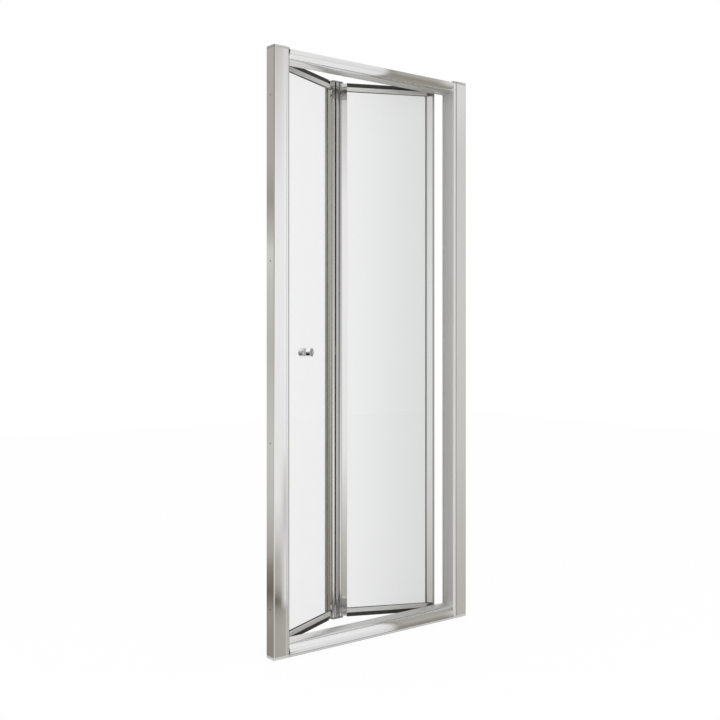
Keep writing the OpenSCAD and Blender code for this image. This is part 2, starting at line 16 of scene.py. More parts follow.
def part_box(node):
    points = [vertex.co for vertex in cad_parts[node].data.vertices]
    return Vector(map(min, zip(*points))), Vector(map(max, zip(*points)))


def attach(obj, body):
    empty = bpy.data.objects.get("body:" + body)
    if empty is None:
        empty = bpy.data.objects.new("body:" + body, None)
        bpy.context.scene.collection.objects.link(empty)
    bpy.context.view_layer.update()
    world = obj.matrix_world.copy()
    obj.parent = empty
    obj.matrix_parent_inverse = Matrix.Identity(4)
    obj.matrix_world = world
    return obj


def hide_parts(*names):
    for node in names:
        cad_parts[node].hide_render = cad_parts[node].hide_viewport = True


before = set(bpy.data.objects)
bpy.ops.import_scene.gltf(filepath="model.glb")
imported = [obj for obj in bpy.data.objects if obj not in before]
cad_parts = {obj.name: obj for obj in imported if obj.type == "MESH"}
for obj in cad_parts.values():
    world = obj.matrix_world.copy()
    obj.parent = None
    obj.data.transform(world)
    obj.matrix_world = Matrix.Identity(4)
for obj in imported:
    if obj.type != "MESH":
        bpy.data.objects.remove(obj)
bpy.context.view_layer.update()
scene = bpy.context.scene

# %% [markdown]
# The viewer stands to the left of the door, a little above its middle, and the verticals stay parallel. A level
# camera with a small upward or downward shift keeps them so, which is what a tilt-and-shift lens does in a
# studio. The place and the focal length come from solving the door's own corners.

# %% Camera
FOCAL_MM = 51.93
SENSOR_MM = 36.0
EYE = Vector((-2.1382, -2.64245, 0.9862))
TURN = math.radians(-38.56)

lens = bpy.data.cameras.new("studio_camera")
lens.lens = FOCAL_MM
lens.sensor_width = SENSOR_MM
lens.shift_y = -0.0390
camera = bpy.data.objects.new("studio_camera", lens)
camera.location = EYE
camera.rotation_euler = (math.pi / 2, 0, TURN)
scene.collection.objects.link(camera)
scene.camera = camera
print("camera", tuple(round(v, 3) for v in EYE), "turned", round(math.degrees(TURN), 2))

# %% [markdown]
# Door makers draw sections in millimetres, so the sizes here are millimetres too, measured from the left wall,
# the front face and the floor. Each part of the door gets a matrix that carries such a drawing to its place:
# the room itself, the right post as a mirror image of the left, and the two panels, which are mirror images
# about the hinge. The print shows how far the hinge spine drawn from these numbers lies from the packed one.

# %% Sizes and places
WIDTH, HEIGHT, DEPTH = 800.0, 1850.0, 98.5
POST_W, POST_D, CHANNEL_W, CHANNEL_D, WALL, CAP = 58.0, 54.0, 46.0, 41.0, 1.8, 8.0
RAIL_TOP, SILL, BULL = 1845.0, 7.0, 36.5
PIVOT_X, TRACK_Y, FOLD, ARM, HINGE_SET = 82.6, 82.0, math.radians(24.5), 321.15, 9.0
EDGE_OUT, EDGE_IN, HINGE_IN, HINGE_OUT = -7.5, 13.3, ARM - 23.2, ARM - 9.0
STILE_LO, STILE_HI, GLASS_LO, GLASS_HI = 21.6, 1830.4, 43.7, 1806.7
AXIS = Vector((PIVOT_X + ARM * math.cos(FOLD) + HINGE_SET * math.sin(FOLD),
               TRACK_Y + ARM * math.sin(FOLD) - HINGE_SET * math.cos(FOLD)))
CENTRE_X = AXIS.x + 15.0

MM = Matrix.Scale(0.001, 4)
FLIP = Matrix.Scale(-1, 4, (1, 0, 0))
ROOM = MM @ Matrix.Translation((-WIDTH / 2, -DEPTH / 2, 0))
RIGHT = ROOM @ Matrix.Translation((WIDTH, 0, 0)) @ FLIP
PANEL = Matrix.Translation((PIVOT_X, TRACK_Y, 0)) @ Matrix.Rotation(FOLD, 4, "Z")
PIVOT = ROOM @ PANEL
LEADING = ROOM @ Matrix.Translation((2 * CENTRE_X, 0, 0)) @ FLIP @ PANEL
SPINE = ROOM @ Matrix.Translation((CENTRE_X, AXIS.y, 0))
# Turns a section drawn as (depth, height) so that its length runs along X
ALONG = Matrix(((0, 0, 1, 0), (1, 0, 0, 0), (0, 1, 0, 0), (0, 0, 0, 1)))
spine_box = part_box("hinge_spine")
print("hinge spine off by %.2f mm" % (1000 * abs((spine_box[0][0] + spine_box[1][0]) / 2 - SPINE.translation.x)))

# %% [markdown]
# A real extrusion has no razor edges: every corner has a small radius that catches a line of light. The first
# helper turns corners such as (x, y, radius) into a smooth outline, the second draws an arc.

# %% Outlines with rounded corners
def outline(*corners, steps=4):
    """Points of a closed outline. A corner is (x, y), or (x, y, radius) to round it."""
    points = []
    for i, corner in enumerate(corners):
        here = Vector(corner[:2])
        if len(corner) == 2:
            points.append(here)
            continue
        back = (Vector(corners[i - 1][:2]) - here).normalized()
        on = (Vector(corners[(i + 1) % len(corners)][:2]) - here).normalized()
        half = back.angle(on) / 2
        centre = here + (back + on).normalized() * (corner[2] / math.sin(half))
        first = here + back * (corner[2] / math.tan(half)) - centre
        last = here + on * (corner[2] / math.tan(half)) - centre
        turn = math.atan2(first.x * last.y - first.y * last.x, first.dot(last))
        count = max(steps, int(abs(turn) * math.sqrt(corner[2]) * 4))
        points += [centre + Matrix.Rotation(turn * k / count, 2) @ first for k in range(count + 1)]
    return points


def arc(x, y, radius, start, stop, steps=24):
    """Points on a circle from one angle to another, in degrees."""
    angles = [math.radians(start + (stop - start) * k / steps) for k in range(steps + 1)]
    return [(x + radius * math.cos(a), y + radius * math.sin(a)) for a in angles]


print("a rounded square has", len(outline((0, 0, 1), (9, 0, 1), (9, 9, 1), (0, 9, 1))), "points")

# %% [markdown]
# An extrusion is one section pushed along a line. Its cut ends are slightly eased, as if touched with a file,
# so the first and the last ring are drawn in a little. Blender can extrude too, but drawing the rings ourselves
# keeps the eased ends and the holes exact.

# %% Extrusions
def drawn_in(loop, distance):
    """The loop moved into the metal, which lies on the left of its direction."""
    moved = []
    for i, point in enumerate(loop):
        a, b, c = Vector(loop[i - 1]), Vector(point), Vector(loop[(i + 1) % len(loop)])
        n1, n2 = ((q - p).orthogonal().normalized() for p, q in ((a, b), (b, c)))
        moved.append(b + (n1 + n2) * (distance / max(0.4, 1 + n1.dot(n2))))
    return moved


def facing(loop, counterclockwise):
    area = sum(loop[i - 1][0] * p[1] - p[0] * loop[i - 1][1] for i, p in enumerate(loop))
    return list(loop) if (area > 0) == counterclockwise else list(loop)[::-1]


def extrude(mesh, loops, start, end, ease=(0.3, 0.3)):
    """Adds an extrusion to a bmesh. The first loop is the outside and any others are holes."""
    loops = [facing(loop, i == 0) for i, loop in enumerate(loops)]
    levels = [(start, ease[0]), (start + ease[0], 0), (end - ease[1], 0), (end, ease[1])]
    ends = {start: [], end: []}
    for loop in loops:
        rings = [[mesh.verts.new((*p, at)) for p in (drawn_in(loop, inset) if inset else loop)]
                 for at, inset in levels]
        for low, high in zip(rings, rings[1:]):
            for i in range(len(loop)):
                mesh.faces.new((low[i - 1], low[i], high[i], high[i - 1]))
        for at, ring in ((start, rings[0]), (end, rings[-1])):
            ends[at] += [mesh.edges.get((ring[i - 1], ring[i])) for i in range(len(ring))]
    for edges in ends.values():
        bmesh.ops.triangle_fill(mesh, use_beauty=True, edges=edges)


tube = bmesh.new()
extrude(tube, [arc(0, 0, 5, 0, 345, 23), arc(0, 0, 3, 0, 345, 23)], 0, 10)
print("a short tube has", len(tube.faces), "faces")
tube.free()

# %% [markdown]
# Knobs, screw heads and drills are turned on a lathe: one profile goes round an axis. Where the profile meets the
# axis, the ring is a single point.

# %% Turned solids
ROUND_STEPS = 48


def turned(mesh, profile, turn=None, steps=ROUND_STEPS):
    """Adds a solid turned about Z. The profile is (radius, height) points, from the axis to the axis."""
    turn = turn or Matrix.Identity(4)
    rings = []
    for radius, at in profile:
        count = 1 if radius < 1e-6 else steps
        rings.append([mesh.verts.new(turn @ Vector((radius * math.cos(k * math.tau / steps),
                                                    radius * math.sin(k * math.tau / steps), at)))
                      for k in range(count)])
    for low, high in zip(rings, rings[1:]):
        for k in range(steps):
            corners = [low[k % len(low)], low[(k + 1) % len(low)], high[(k + 1) % len(high)], high[k % len(high)]]
            corners = list(dict.fromkeys(corners))
            if len(corners) > 2:
                mesh.faces.new(corners)


print("a turned solid has", ROUND_STEPS, "sides unless told otherwise")

# %% [markdown]
# A finished mesh becomes an object that rides on one body of the door and stands for one or more packed nodes. A
# weighted-normal modifier keeps the flats optically flat beside the rounded edges, which matters on polished metal
# because it mirrors the room.

# %% Place a piece
built = []
SHARP = math.radians(32)


def piece(name, mesh, place, body, finish_name, replaces=()):
    """Makes the object, rides it on its body and hides the packed nodes that it stands for."""
    bmesh.ops.transform(mesh, matrix=place, verts=mesh.verts)
    bmesh.ops.recalc_face_normals(mesh, faces=mesh.faces)
    data = bpy.data.meshes.new(name)
    mesh.to_mesh(data)
    mesh.free()
    data.shade_smooth()
    data.set_sharp_from_angle(angle=SHARP)
    obj = bpy.data.objects.new(name, data)
    scene.collection.objects.link(obj)
    data.materials.append(finishes[finish_name])
    weights = obj.modifiers.new("flat faces stay flat", "WEIGHTED_NORMAL")
    weights.keep_sharp = True
    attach(obj, body)
    if replaces:
        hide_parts(*replaces)
    built.append(name)
    return obj


def section(name, loops, start, end, place, body, finish_name, replaces=()):
    """A piece that is one extrusion."""
    mesh = bmesh.new()
    extrude(mesh, loops, start, end)
    return piece(name, mesh, place, body, finish_name, replaces)


print("ready to build")

# %% [markdown]
# Finishes are sums on masks and noises, so a small class writes the nodes. A Wire is one socket. Numbers and wires
# can be added, taken away, multiplied and divided in either order, and each such step becomes one Math node, or
# a Vector Math or Mix node where the wire carries a vector or a colour. Two helpers come first.

# %% Values and wires into sockets
def plug(tree, socket, value):
    """Puts a wire or a plain value into a socket."""
    if isinstance(value, Wire):
        tree.links.new(value.socket, socket)
    elif socket.type == "RGBA" and len(value) == 3:
        socket.default_value = (*value, 1)
    else:
        socket.default_value = value


def tint(value):
    """A number as the grey of that strength; a colour or wire as it is."""
    return (value, value, value) if isinstance(value, (int, float)) else value


print("a number as a colour:", tint(0.5))

# %% [markdown]
# The class itself overloads the arithmetic signs, also in their reflected forms, so that 1 - mask works. One method
# makes any other node: it takes the node's type, then its settings, then the values or links of its sockets.

# %% A wire that does sums
class Wire:
    """One socket of a node tree. Sums on wires become nodes."""

    def __init__(self, tree, socket=None):
        self.tree, self.socket = tree, socket

    def node(self, kind, settings=None, inputs=None, output=0):
        """Adds a node: settings first, then its sockets' values or links."""
        made = self.tree.nodes.new("ShaderNode" + kind)
        for name, value in (settings or {}).items():
            if name == "stops":
                ramp = made.color_ramp
                while len(ramp.elements) < len(value):
                    ramp.elements.new(0.5)
                for stop, (at, colour) in zip(ramp.elements, value):
                    stop.position = at
                    stop.color = (*colour, 1) if isinstance(colour, tuple) else (colour, colour, colour, 1)
            else:
                setattr(made, name, value)
        for name, value in (inputs or {}).items():
            plug(self.tree, made.inputs[name], value)
        return Wire(self.tree, made.outputs[output])

    def sum(self, operation, other, flip=False):
        pair = (other, self) if flip else (self, other)
        kinds = {w.socket.type for w in pair if isinstance(w, Wire)}
        if "RGBA" in kinds:
            settings = {"data_type": "RGBA", "blend_type": operation}
            return self.node("Mix", settings, {0: 1.0, 6: tint(pair[0]), 7: tint(pair[1])}, 2)
        kind = "VectorMath" if "VECTOR" in kinds else "Math"
        if kind == "VectorMath":
            pair = tuple(w if isinstance(w, (Wire, tuple)) else (w, w, w) for w in pair)
        return self.node(kind, {"operation": operation}, {0: pair[0], 1: pair[1]})

    def __add__(self, other):
        return self.sum("ADD", other)

    def __radd__(self, other):
        return self.sum("ADD", other, True)

    def __sub__(self, other):
        return self.sum("SUBTRACT", other)

    def __rsub__(self, other):
        return self.sum("SUBTRACT", other, True)

    def __mul__(self, other):
        return self.sum("MULTIPLY", other)

    def __rmul__(self, other):
        return self.sum("MULTIPLY", other, True)

    def __truediv__(self, other):
        return self.sum("DIVIDE", other)

    def __rtruediv__(self, other):
        return self.sum("DIVIDE", other, True)

    def blend(self, low, high):
        """A colour between low and high, with this wire as the mask."""
        return self.node("Mix", {"data_type": "RGBA"}, {0: self, 6: tint(low), 7: tint(high)}, 2)

    def remap(self, low, high, to_low=0.0, to_high=1.0):
        """Slides the stretch from low to high onto to_low to to_high, and stops at its ends."""
        ends = {"Value": self, "From Min": low, "From Max": high, "To Min": to_low, "To Max": to_high}
        return self.node("MapRange", {"interpolation_type": "SMOOTHSTEP"}, ends)

    def split(self):
        """The x, y and z of a vector."""
        parts = self.node("SeparateXYZ", inputs={0: self}).socket.node
        return [Wire(self.tree, out) for out in parts.outputs]


print("a Wire knows", sorted(name for name in vars(Wire) if not name.startswith("__")))

# %% [markdown]
# A finish starts from one Principled shader. Its constants are set on the shader's own sockets, and only what
# varies over the surface comes through a wire. Texture space is the object's own, in metres, so a grain of half
# a millimetre is half a millimetre on every piece.

# %% Start a finish
finishes = {}


def finish(name, **constants):
    """A new material: its Principled shader and a wire to start sums from."""
    material = bpy.data.materials.new(name)
    material.use_nodes = True
    shader = material.node_tree.nodes["Principled BSDF"]
    for socket, value in constants.items():
        plug(material.node_tree, shader.inputs[socket.replace("_", " ")], value)
    finishes[name] = material
    return shader, Wire(material.node_tree)


def vary(shader, socket, wire):
    """Feeds one of the shader's varying sockets."""
    wire.tree.links.new(wire.socket, shader.inputs[socket])


def place(wire, draw_out=(1, 1, 1), turn=0.0):
    """The point on the object. 50 along an axis draws a grain out fifty times; turn swings that axis about Z."""
    here = wire.node("TexCoord", output=3)
    ends = {"Vector": here, "Scale": draw_out, "Rotation": (0, 0, turn)}
    return wire.node("Mapping", {"vector_type": "TEXTURE"}, ends)


def noise(wire, point, scale, detail=3.0, roughness=0.5):
    ends = {"Vector": point, "Scale": scale, "Detail": detail, "Roughness": roughness}
    return wire.node("TexNoise", inputs=ends)


def bump(wire, height, distance, strength=1.0):
    """A bump of so many metres."""
    return wire.node("Bump", inputs={"Height": height, "Distance": distance, "Strength": strength})


print("helpers for finishes ready")

# %% [markdown]
# The frame is extruded aluminium, polished until it mirrors the room, and anodised. Up close it keeps faint die
# lines along its length, which a noise drawn out along the extrusion gives. They go into the roughness and the
# colour, a few per cent each, and into a bump far too low to see as a shape. The rails are bright in front and turn
# satin toward the back, where a polishing wheel doesn't reach, so their finish takes an extra roughness over depth.

# %% Polished aluminium, for uprights and for level pieces
SILVER = (0.795, 0.795, 0.785)


def polished(name, draw_out, turn=0.0, colour=SILVER, gloss=0.04, metal=1.0, softer=None):
    """Metal with die lines; softer takes the depth on the object and gives extra roughness."""
    shader, wire = finish(name, Metallic=metal)
    lines = noise(wire, place(wire, draw_out, turn), 900.0, 4.0)
    cloud = noise(wire, place(wire), 3.0, 2.0)
    vary(shader, "Base Color", lines.blend(tuple(0.97 * c for c in colour), tuple(1.02 * c for c in colour)))
    rough = lines * 0.03 + cloud * 0.02 + gloss - 0.03
    if softer:
        rough = rough + softer(place(wire).split()[1])
    vary(shader, "Roughness", rough)
    vary(shader, "Normal", bump(wire, lines, 0.000004, 0.3))
    return finishes[name]


LONG = 250.0
# A lighter silver for half-metal copies of the aluminium: painted light that brightens the closing jamb and the panel
# rails.
PAINTED_LIGHT_SILVER = (0.86, 0.86, 0.85)
polished("aluminium_upright", (1, 1, LONG))
polished("aluminium_level", (LONG, 1, 1), gloss=0.05, softer=lambda at: at.remap(-0.033, -0.026, 0.0, 0.30))
polished("aluminium_soft_painted_light", (1, 1, LONG), colour=PAINTED_LIGHT_SILVER, gloss=0.34, metal=0.7)
polished("aluminium_hinge", (1, 1, LONG), colour=(0.54, 0.54, 0.53), gloss=0.10)
polished("aluminium_pivot_rail", (LONG, 1, 1), FOLD, PAINTED_LIGHT_SILVER, 0.34, 0.5)
polished("aluminium_leading_rail", (LONG, 1, 1), -FOLD, PAINTED_LIGHT_SILVER, 0.34, 0.5)
print("finishes so far:", sorted(finishes))

# %% [markdown]
# Clear glass lets nearly everything through and mirrors more the flatter one looks along it. A Transparent
# shader mixed with a glossy one by Fresnel says just that, with no bending, which a thin pane hardly shows. Some
# grey surface is mixed in as well: hardly any on the pivot pane, and on the leading pane a painted shade that
# grows from the hinge toward the pane's leading edge.

# %% Glass
def glass(name, tint_and_painted_shade):
    """A pane; the last argument takes the wire and gives how much of the grey surface is mixed in, a faint tint on
    the pivot pane and painted shade on the leading one.
    """
    shader, wire = finish(name, Base_Color=(0.30, 0.32, 0.32), Roughness=0.02, Metallic=0.0)
    clear = wire.node("BsdfTransparent", inputs={"Color": (0.990, 0.992, 0.989)})
    tilt = wire.node("LayerWeight", inputs={"Blend": 0.5}, output=1)
    fresnel = tilt.sum("POWER", 5.0) * 0.96 + 0.04
    tree = finishes[name].node_tree
    factor = tint_and_painted_shade(wire) + fresnel
    surface = wire.node("MixShader", inputs={0: factor, 1: clear, 2: Wire(tree, shader.outputs[0])})
    tree.links.new(surface.socket, tree.nodes["Material Output"].inputs["Surface"])
    return finishes[name]


glass("glass_pivot", lambda wire: noise(wire, place(wire), 2.0) * 0.01 + 0.015)
# Painted shade: the leading pane turns greyer from the hinge toward its leading edge.
glass("glass_leading", lambda wire: place(wire).split()[0].remap(-0.02, 0.31, 0.06, 0.18))
print("panes:", [name for name in finishes if name.startswith("glass")])

# %% [markdown]
# Rubber is nearly black, and what shows is its dull sheen. Plastics and screws differ in tone and gloss. All of
# them are moulded or turned, so one helper gives each a fine grain and a slow cloud of unevenness.

# %% Rubber, plastics, screws and chrome
def plain(name, colour, rough, grain=260.0, depth=0.00002, spread=0.1, **constants):
    """A moulded finish: a little unevenness in colour and gloss, and a fine grain."""
    shader, wire = finish(name, **constants)
    grains = noise(wire, place(wire), grain, 4.0)
    cloud = noise(wire, place(wire), 9.0, 2.0)
    dark, light = (tuple(min(1.0, c * k) for c in colour) for k in (1 - spread, 1 + spread))
    vary(shader, "Base Color", (grains * 0.5 + cloud * 0.5).blend(dark, light))
    vary(shader, "Roughness", grains * 0.12 + rough - 0.06)
    vary(shader, "Normal", bump(wire, grains, depth, 0.4))
    return finishes[name]


plain("rubber_black", (0.030, 0.030, 0.029), 0.42, spread=0.2)
plain("plastic_clear", (0.80, 0.82, 0.81), 0.22, spread=0.03)
plain("plastic_grey", (0.33, 0.325, 0.31), 0.38)
plain("seal_grey", (0.30, 0.295, 0.28), 0.34)
plain("cap_grey", (0.24, 0.24, 0.23), 0.3)
plain("foot_pale", (0.56, 0.57, 0.56), 0.25, spread=0.04)
plain("gasket_grey", (0.20, 0.20, 0.195), 0.42, spread=0.15)
plain("chrome_soft", (0.80, 0.80, 0.795), 0.32, 120.0, 0.000001, 0.01, Metallic=1.0)
plain("nylon_grey", (0.42, 0.43, 0.44), 0.45)
plain("cap_satin", (0.62, 0.62, 0.605), 0.16, 420.0, 0.000004, 0.03, Metallic=1.0)
plain("steel_screw", (0.55, 0.55, 0.53), 0.30, 700.0, 0.000006, 0.05, Metallic=1.0)
plain("chrome_bright", (0.83, 0.83, 0.825), 0.09, 120.0, 0.000001, 0.01, Metallic=1.0)
print("moulded and turned finishes:", len(finishes))

# %% [markdown]
# The pivot pane's gasket is painted paler where it runs down beside the hinge: a painted reflection of the bright
# stile. The place along the door is the mask between the dark grey and the painted reflection.

# %% Gasket with a painted reflection of the stile
shader, wire = finish("gasket_painted_stile_reflection", Roughness=0.4)
# Painted reflection: this mask pales the gasket near the hinge, where the bright stile shows in it.
along = place(wire).split()[0].remap(-0.066, -0.058)
grains = noise(wire, place(wire), 260.0, 4.0) * 0.04
vary(shader, "Base Color", along.blend(0.13 + grains, 0.52 + grains))
vary(shader, "Roughness", grains + 0.4)
print("finishes:", sorted(finishes))

# %% [markdown]
# The threshold strip is one pale profile with two dark bands painted along its upper and lower edge: painted
# shade of the gap under the rail and of the strip's contact with the floor, which shows as two fine grey lines
# under the rail. The height on the strip is the mask.

# %% Threshold strip with painted shade lines
shader, wire = finish("strip_pale_with_painted_shade", Roughness=0.3)
up = place(wire).split()[2]
# Painted shade: a dark band at the strip's top edge under the rail, and one at its foot on the floor.
lips_and_painted_shade = up.remap(0.0055, 0.0062) + up.remap(0.0014, 0.0008)
grains = noise(wire, place(wire), 260.0, 4.0) * 0.03
vary(shader, "Base Color", lips_and_painted_shade.blend(0.58 + grains, 0.16 + grains))
vary(shader, "Roughness", grains + 0.3)
print("strip finish ready")

# %% [markdown]
# Nodes of the packed model whose shape is already right, such as the panes, the fixings and the guides, stay
# and only get a finish.


def finish_of(name):
    """The finish for a packed node, read from its name."""
    if name in ("pivot_glass", "leading_glass"):
        return "glass_" + name.removesuffix("_glass")
    if "glazing" in name:
        return "gasket_painted_stile_reflection" if name.startswith("pivot") else "gasket_grey"
    if any(word in name for word in ("gasket", "seal", "magnet")):
        return "rubber_black"
    if name == "knob_washers":
        return "plastic_clear"
    if any(word in name for word in ("plug", "block", "roller", "shoe")):
        return "nylon_grey"
    if "screw" in name or name.endswith("_pin") or name == "knob_stud":
        return "steel_screw"
    return "aluminium_upright"


for name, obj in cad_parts.items():
    obj.data.materials.clear()
    obj.data.materials.append(finishes[finish_of(name)])
print("dressed", len(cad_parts), "nodes")

# %% [markdown]
# Each post is two extrusions: a channel for the wall, whose front is very slightly crowned and whose edge at
# the wall is rounded, and a jamb that slides in it. The joint between them is the fine dark line down the front
# of the right post, where the jamb is pulled out a little further. The section is drawn once and mirrored. Each
# channel has four holes for the wall screws, which a boolean drills through the finished piece.

# %% Drill holes
def bore(obj, spots, radius, place, axis):
    """Drills holes through a finished piece with a boolean, then takes the drills away."""
    drills = bmesh.new()
    for x, y, z in spots:
        turned(drills, [(0, -6), (radius, -6), (radius, 6), (0, 6)],
               place @ Matrix.Translation((x, y, z)) @ Matrix.Rotation(math.pi / 2, 4, axis), 24)
    bmesh.ops.recalc_face_normals(drills, faces=drills.faces)
    data = bpy.data.meshes.new("drills")
    drills.to_mesh(data)
    drills.free()
    tool = bpy.data.objects.new("drills", data)
    scene.collection.objects.link(tool)
    cut = obj.modifiers.new("holes", "BOOLEAN")
    cut.object, cut.solver = tool, "EXACT"
    bpy.context.view_layer.update()
    fresh = bpy.data.meshes.new_from_object(obj.evaluated_get(bpy.context.evaluated_depsgraph_get()))
    obj.modifiers.clear()
    obj.data = fresh
    fresh.set_sharp_from_angle(angle=SHARP)
    obj.modifiers.new("flat faces stay flat", "WEIGHTED_NORMAL").keep_sharp = True
    bpy.data.objects.remove(tool)


print("drill ready")

# %% [markdown]
# The channel's outline runs round its U once: the rounded edge at the wall, the crowned front, and back inside.

# %% Wall channels
CROWN_RADIUS = 20000.0


def crown(x):
    """How far the slightly convex front falls back at x."""
    return CROWN_RADIUS - math.sqrt(CROWN_RADIUS ** 2 - (CHANNEL_W / 2 - x) ** 2)


CROWN = [(x, crown(x)) for x in range(4, 45, 4)]
channel = outline(
    (0, CHANNEL_D, 0.6), (0, crown(0), 3), *CROWN, (CHANNEL_W, crown(CHANNEL_W), 0.5),
    (CHANNEL_W, crown(CHANNEL_W) + WALL, 0.4), *[(x, y + WALL) for x, y in reversed(CROWN)],
    (2.2, 2.0, 0.4), (2.2, 38.8, 0.4), (CHANNEL_W, 38.8, 0.5), (CHANNEL_W, CHANNEL_D, 0.6))

HOLE_RADIUS = 2.2
WALL_HOLES = [(1, CHANNEL_D / 2, z) for z in (150, 650, 1200, 1700)]
for side, place_at in (("left", ROOM), ("right", RIGHT)):
    obj = section(side + "_channel_extrusion", [channel], CAP, HEIGHT - CAP, place_at, "frame", "aluminium_upright",
                  [side + "_wall_channel"])
    bore(obj, WALL_HOLES, HOLE_RADIUS, place_at, "Y")
print("wall channels:", len(channel), "points in the section")

# %% [markdown]
# A jamb has a nose in front, two flanges that slide in the channel, and a box behind. Its leg differs: the pivot
# side has a plain one for the gasket, the closing side a thin one for the magnetic strip. Each jamb is drawn as one
# closed line round all its walls, which a die would follow too.

# %% Jambs
def jamb(gap, leg, nose):
    """Nose, flanges and rear box of a jamb as one line; the leg is the part behind it."""
    n = CHANNEL_W + gap
    return outline(
        (n, 0.8, 0.3), (POST_W, 0.8, nose), (POST_W, 41.2, 0.3), (57, 41.2), (57, 42.4), (POST_W, 42.4, 0.3), *leg,
        (22, POST_D, 0.6), (22, 41.6, 0.4), (n, 41.6), (n, 38.2), (14, 38.2, 0.4), (14, 36.4, 0.4), (n + 2, 36.4),
        (n + 2, 43.4), (23.8, 43.4), (23.8, 52.2), (56.2, 52.2), (56.2, 2.6), (n + 2, 2.6), (n + 2, 5.8),
        (14, 5.8, 0.4), (14, 4, 0.4), (n, 4))


pivot_leg = [(POST_W, TRACK_Y + 6, 0.7), (56.2, TRACK_Y + 6, 0.7), (56.2, POST_D)]
closing_leg = [(POST_W, POST_D, 0.8), (25.4, POST_D), (25.4, TRACK_Y + 5.5, 0.7), (23.6, TRACK_Y + 5.5, 0.7),
               (23.6, POST_D)]
# The closing jamb's finish is a lighter, half-metal copy of the aluminium: painted light.
for side, place_at, gap, leg, nose, look in (("left", ROOM, 0.2, pivot_leg, 5.5, "aluminium_upright"),
                                             ("right", RIGHT, 1.2, closing_leg, 4, "aluminium_soft_painted_light")):
    section(side + "_jamb_extrusion", [jamb(gap, leg, nose)], CAP, HEIGHT - CAP, place_at, "frame", look,
            [side + "_jamb"])
print("jambs done")

# %% [markdown]
# Every post ends in a moulded cap with the outline of the whole post, satin like the metal, and stands on a
# pale foot of the same outline. Only the outer end is well rounded; the end at the metal is nearly sharp.

# %% Caps and feet
post_plan = outline(
    (0, CHANNEL_D, 0.8), (0, crown(0), 3), *CROWN, (CHANNEL_W, crown(CHANNEL_W)), (CHANNEL_W, 0.8), (POST_W, 0.8, 4),
    (POST_W, POST_D, 0.8), (22, POST_D, 0.8), (22, CHANNEL_D))
for side, place_at in (("left", ROOM), ("right", RIGHT)):
    for end, low, ease, look in (("cap", HEIGHT - CAP, (0.15, 0.7), "cap_satin"),
                                 ("foot", 0, (0.5, 0.15), "foot_pale")):
        mesh = bmesh.new()
        extrude(mesh, [post_plan], low, low + CAP, ease)
        piece(side + "_post_" + end + "_moulding", mesh, place_at, "frame", look, [side + "_post_" + end])
print("caps and feet done")

# %% [markdown]
# The head rail and the threshold rail share one section: an upright foot, a small arc and a long flat arc up to
# the crest, a back wall, and a plate with the two walls of the guide track. Polished metal shows every facet, so
# the arcs are drawn finely here. Behind the right post only the plate and the track run on.

# %% Head rail and bottom rail
def track(x0):
    y = TRACK_Y
    return [(x0, 2), (y - 8, 2), (y - 8, 9, 0.7), (y - 6, 9, 0.7), (y - 6, 2), (y + 6, 2), (y + 6, 9, 0.7),
            (y + 8, 9, 0.7), (y + 8, 2), (DEPTH, 2, 0.6), (DEPTH, 0, 0.4)]


rail = outline((0, 0, 1.6), *arc(26, 6.5, 26, 180, 106.26, 36), *arc(54, -89.5, 126, 106.26, 90, 24)[1:-1],
               (54, BULL, 0.8), *track(54))
rail_hollow = outline((2, 2, 0.5), *arc(26, 6.5, 24, 180, 106.26, 24), *arc(54, -89.5, 124, 106.26, 90.92, 12)[1:],
                      (52, 2, 0.5))
rail_end = outline((54.3, 0, 0.3), *track(54.3))
DOWN = Matrix.Scale(-1, 4, (0, 0, 1))
for name, place_at in (("head", ROOM @ Matrix.Translation((0, 0, RAIL_TOP)) @ DOWN),
                       ("bottom", ROOM @ Matrix.Translation((0, 0, SILL)))):
    mesh = bmesh.new()
    extrude(mesh, [rail, rail_hollow], POST_W, WIDTH - POST_W, (0.02, 0.02))
    extrude(mesh, [rail_end], WIDTH - POST_W, WIDTH - 29.6)
    piece(name + "_rail_extrusion", mesh, place_at @ ALONG, "frame", "aluminium_level", [name + "_rail"])
strip = outline((1, 0, 0.3), (1, SILL, 1.5), (8, SILL), (8, 4), (44, 4), (44, SILL), (DEPTH, SILL, 0.3),
                (DEPTH, 0, 0.3))
section("threshold_sealing_strip", [strip], POST_W, WIDTH - POST_W, ROOM @ ALONG, "frame", "strip_pale_with_painted_shade",
        ["threshold_strip"])
print("rails done:", len(rail), "points in the section")

# %% [markdown]
# The posts also carry soft parts. A round hollow gasket on the pivot side closes the gap to the door, and on the
# other side a magnetic strip is clipped over the jamb's leg. Small caps hide the adjusting screws inside.

# %% Gasket, magnetic strip and screw caps
LOW, HIGH = 19.0, 1833.0
mesh = bmesh.new()
extrude(mesh, [outline((58, 75, 0.3), (59.2, 75, 0.5), (59.2, 87, 0.5), (58, 87, 0.3))], LOW, HIGH)
extrude(mesh, [arc(62, 81, 3.5, 0, 350, 35), arc(62, 81, 2.4, 0, 350, 35)], LOW, HIGH, (0.2, 0.2))
piece("jamb_bulb_gasket", mesh, ROOM, "frame", "rubber_black", ["jamb_gasket"])
magnet = outline((22, 73, 0.3), (22, 89, 0.8), (28.6, 89, 0.8), (28.6, 73, 0.3), (25.4, 73), (25.4, 87.5),
                 (23.6, 87.5), (23.6, 73))
section("jamb_magnet_profile", [magnet], LOW, HIGH, RIGHT, "frame", "seal_grey", ["jamb_magnet_strip"])
mesh = bmesh.new()
dome = [(p.x, p.y) for p in outline((0, 0), (4.6, 0, 0.2), (4.6, 3, 1.1), (0, 3))]
for x in (17, WIDTH - 17):
    for z in (250, 925, 1600):
        turned(mesh, dome, Matrix.Translation((x, CHANNEL_D, z)) @ Matrix.Rotation(-math.pi / 2, 4, "X"), 32)
